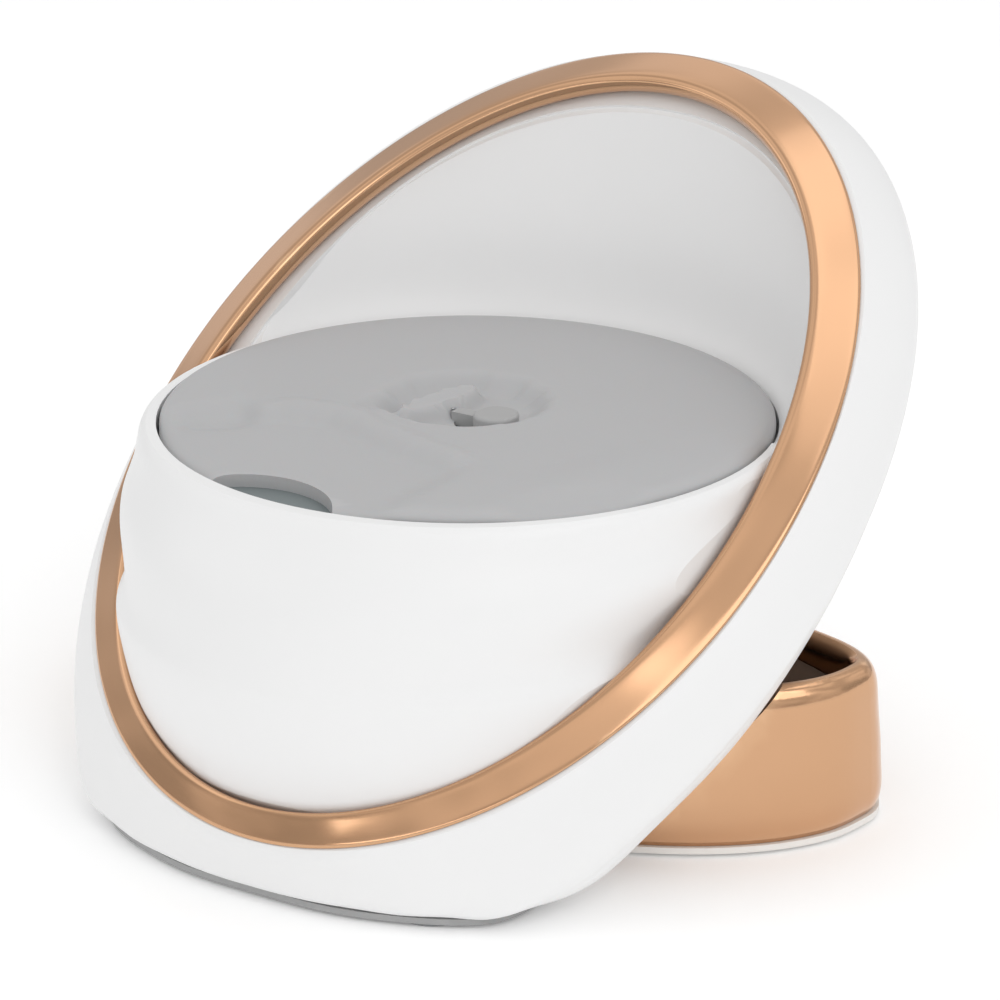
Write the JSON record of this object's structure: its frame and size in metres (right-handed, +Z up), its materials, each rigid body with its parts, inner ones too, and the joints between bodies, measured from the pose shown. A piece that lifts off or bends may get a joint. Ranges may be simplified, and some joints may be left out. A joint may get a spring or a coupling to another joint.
{
  "type": "skin scrubber",
  "caption": "Desktop skin scrubber: rounded tilted pod with an oval metallic trim ring and a lift-off soft round scrub pad, resting in a hollow oval charging stand.",
  "frame": {"origin": "Point on the table directly under the centre of the scrub pad, on the underside of the stand mat.", "axes": "+Z up, -Y is the front with the open bowl, +X is the right-hand side seen from the front."},
  "size_m": [0.1091, 0.1205, 0.0859],
  "materials": {
    "white_shell": "satin moulded white plastic",
    "grey_plastic": "light grey moulded plastic",
    "copper_gold": "glossy copper-gold electroplated plastic",
    "rubber_feet": "soft grey rubber",
    "steel": "plain steel",
    "inner_plastic": "dark engineering plastic",
    "brass_gear": "cut brass",
    "gear_plastic": "natural acetal",
    "bronze": "oil-filled bronze",
    "blue_grey": "matte blue-grey plastic",
    "pad_silicone": "matte light grey silicone",
    "tab_plastic": "matte mid-grey plastic",
    "cell_wrap": "heat-shrunk cell wrap",
    "ferrite": "sintered ferrite sheet",
    "copper_wire": "enamelled copper winding",
    "board_green": "solder-masked circuit board",
    "white_base": "satin white plastic",
    "dark_tray": "satin dark brown plastic"
  },
  "bodies": {
    "stand": {"stand_loop": "copper_gold", "base_plate": "white_base", "base_mat": "rubber_feet", "cradle_tray": "dark_tray", "cradle_rests": "rubber_feet", "sender_coil": "copper_wire", "sender_ferrite": "ferrite", "charging_board": "board_green", "board_screws": "steel", "usb_socket": "steel"},
    "pod": {"rear_case": "white_shell", "back_cover": "white_shell", "cover_screws": "steel", "trim_ring": "copper_gold", "front_housing": "white_shell", "skid_plate": "grey_plastic", "pod_feet": "rubber_feet", "gear_plate": "inner_plastic", "plate_screws": "steel", "motor_can": "steel", "motor_screws": "steel", "idler_arbor": "steel", "lower_bearing": "bronze", "upper_bearing": "bronze", "shaft_seal": "rubber_feet", "battery_cell": "cell_wrap", "pod_ferrite": "ferrite", "receiver_coil": "copper_wire", "main_board": "board_green", "switch_board": "board_green", "tact_switch": "inner_plastic"},
    "motor_rotor": {"motor_shaft": "steel", "motor_pinion": "brass_gear"},
    "idler": {"idler_gear": "gear_plastic"},
    "head": {"output_gear": "gear_plastic", "spindle": "steel", "drive_plate": "blue_grey"},
    "pad": {"scrub_pad": "pad_silicone", "pad_backing": "blue_grey", "latch_spring": "steel"},
    "latch": {"latch_tab": "tab_plastic"},
    "button": {"power_button": "white_shell"}
  },
  "joints": [
    {"name": "pod_lift", "type": "slide", "parent": "stand", "child": "pod", "axis": [0, 0, 1], "range_m": [0, 0.06]},
    {"name": "head_spin", "type": "hinge", "parent": "pod", "child": "head", "pos_m": [0, 0, 0.045], "axis": [0, 0, 1], "continuous": true},
    {"name": "idler_spin", "type": "hinge", "parent": "pod", "child": "idler", "pos_m": [0, -0.0128, 0.037], "axis": [0, 0, 1], "continuous": true},
    {"name": "motor_spin", "type": "hinge", "parent": "pod", "child": "motor_rotor", "pos_m": [0, -0.0256, 0.03], "axis": [0, 0, 1], "continuous": true},
    {"name": "pad_lift", "type": "slide", "parent": "head", "child": "pad", "axis": [0, 0, 1], "range_m": [0, 0.03]},
    {"name": "latch_slide", "type": "slide", "parent": "pad", "child": "latch", "axis": [-1, 0, 0], "range_m": [0, 0.002], "stiffness_N_per_m": 150, "deforming": ["latch_spring"]},
    {"name": "button_press", "type": "slide", "parent": "pod", "child": "button", "axis": [0, -0.5934, 0.8049], "range_m": [0, 0.0004], "stiffness_N_per_m": 400}
  ],
  "couplings": [
    {"joint": "idler_spin", "follows": "head_spin", "ratio": -3},
    {"joint": "motor_spin", "follows": "head_spin", "ratio": 9}
  ]
}
